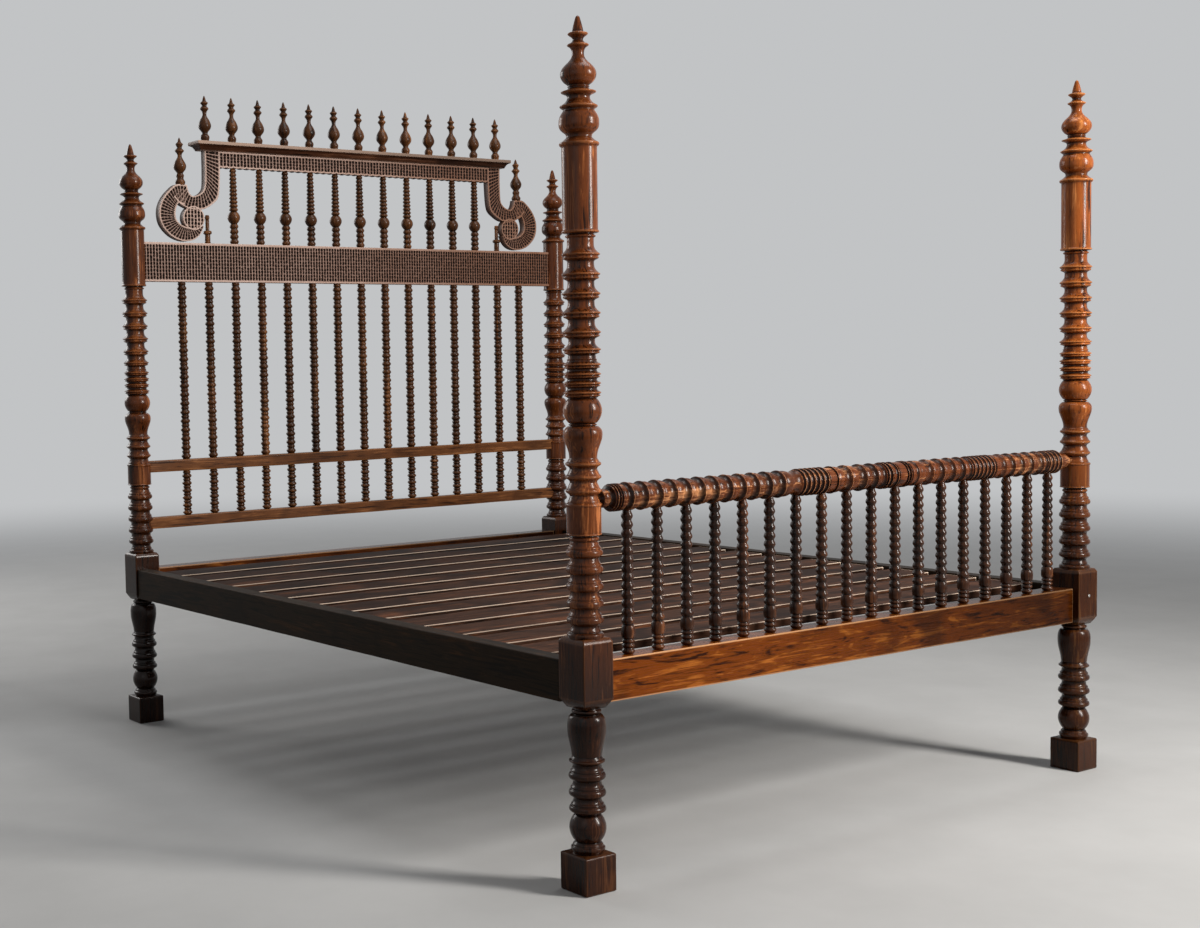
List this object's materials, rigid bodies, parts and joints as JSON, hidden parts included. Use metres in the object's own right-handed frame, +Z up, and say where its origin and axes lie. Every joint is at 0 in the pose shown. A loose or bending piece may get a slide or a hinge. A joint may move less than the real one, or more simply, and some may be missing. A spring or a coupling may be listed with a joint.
{
  "type": "four poster bed",
  "caption": "Low four poster bed in turned wood: ringed posts, spindled footboard under a turned rail, tall spindled headboard with carved rail, cornice and scrolls.",
  "frame": {"origin": "centre of the footprint, on the floor", "axes": "X across the width, Y along the length with the headboard at +Y, Z up"},
  "size_m": [1.762, 2.172, 1.956],
  "materials": {
    "post_wood": "polished dark red-brown rosewood, turned",
    "side_rail_wood": "polished near-black rosewood",
    "end_rail_wood": "polished flamed rosewood with dark streaks",
    "slat_wood": "thin waxed rosewood boards",
    "turned_rail_wood": "polished red-brown rosewood, turned",
    "spindle_wood": "polished dark purple-brown rosewood, turned",
    "plain_rail_wood": "satin orange-brown rosewood",
    "carved_wood": "gouge-carved rosewood, worn pale on the ridges",
    "scroll_wood": "gouge-carved rosewood, worn pale on the ridges",
    "cornice_wood": "polished rosewood moulding over a carved frieze"
  },
  "bodies": {
    "root": {"post_foot_left": "post_wood", "post_foot_right": "post_wood", "post_head_left": "post_wood", "post_head_right": "post_wood", "side_rail_left": "side_rail_wood", "side_rail_right": "side_rail_wood", "foot_rail": "end_rail_wood", "head_rail": "end_rail_wood", "slat_01": "slat_wood", "slat_02": "slat_wood", "slat_03": "slat_wood", "slat_04": "slat_wood", "slat_05": "slat_wood", "slat_06": "slat_wood", "slat_07": "slat_wood", "slat_08": "slat_wood", "slat_09": "slat_wood", "slat_10": "slat_wood", "slat_11": "slat_wood", "slat_12": "slat_wood", "footboard_turned_rail": "turned_rail_wood", "footboard_spindle_01": "spindle_wood", "footboard_spindle_02": "spindle_wood", "footboard_spindle_03": "spindle_wood", "footboard_spindle_04": "spindle_wood", "footboard_spindle_05": "spindle_wood", "footboard_spindle_06": "spindle_wood", "footboard_spindle_07": "spindle_wood", "footboard_spindle_08": "spindle_wood", "footboard_spindle_09": "spindle_wood", "footboard_spindle_10": "spindle_wood", "footboard_spindle_11": "spindle_wood", "footboard_spindle_12": "spindle_wood", "footboard_spindle_13": "spindle_wood", "footboard_spindle_14": "spindle_wood", "footboard_spindle_15": "spindle_wood", "footboard_spindle_16": "spindle_wood", "footboard_spindle_17": "spindle_wood", "footboard_spindle_18": "spindle_wood", "headboard_lower_rail": "plain_rail_wood", "headboard_middle_rail": "plain_rail_wood", "headboard_carved_rail": "carved_wood", "headboard_column_01": "spindle_wood", "headboard_column_02": "spindle_wood", "headboard_column_03": "spindle_wood", "headboard_column_04": "spindle_wood", "headboard_column_05": "spindle_wood", "headboard_column_06": "spindle_wood", "headboard_column_07": "spindle_wood", "headboard_column_08": "spindle_wood", "headboard_column_09": "spindle_wood", "headboard_column_10": "spindle_wood", "headboard_column_11": "spindle_wood", "headboard_column_12": "spindle_wood", "headboard_column_13": "spindle_wood", "headboard_column_14": "spindle_wood", "headboard_column_15": "spindle_wood", "headboard_scroll_left": "scroll_wood", "headboard_scroll_right": "scroll_wood", "headboard_cornice": "cornice_wood"}
  },
  "joints": []
}
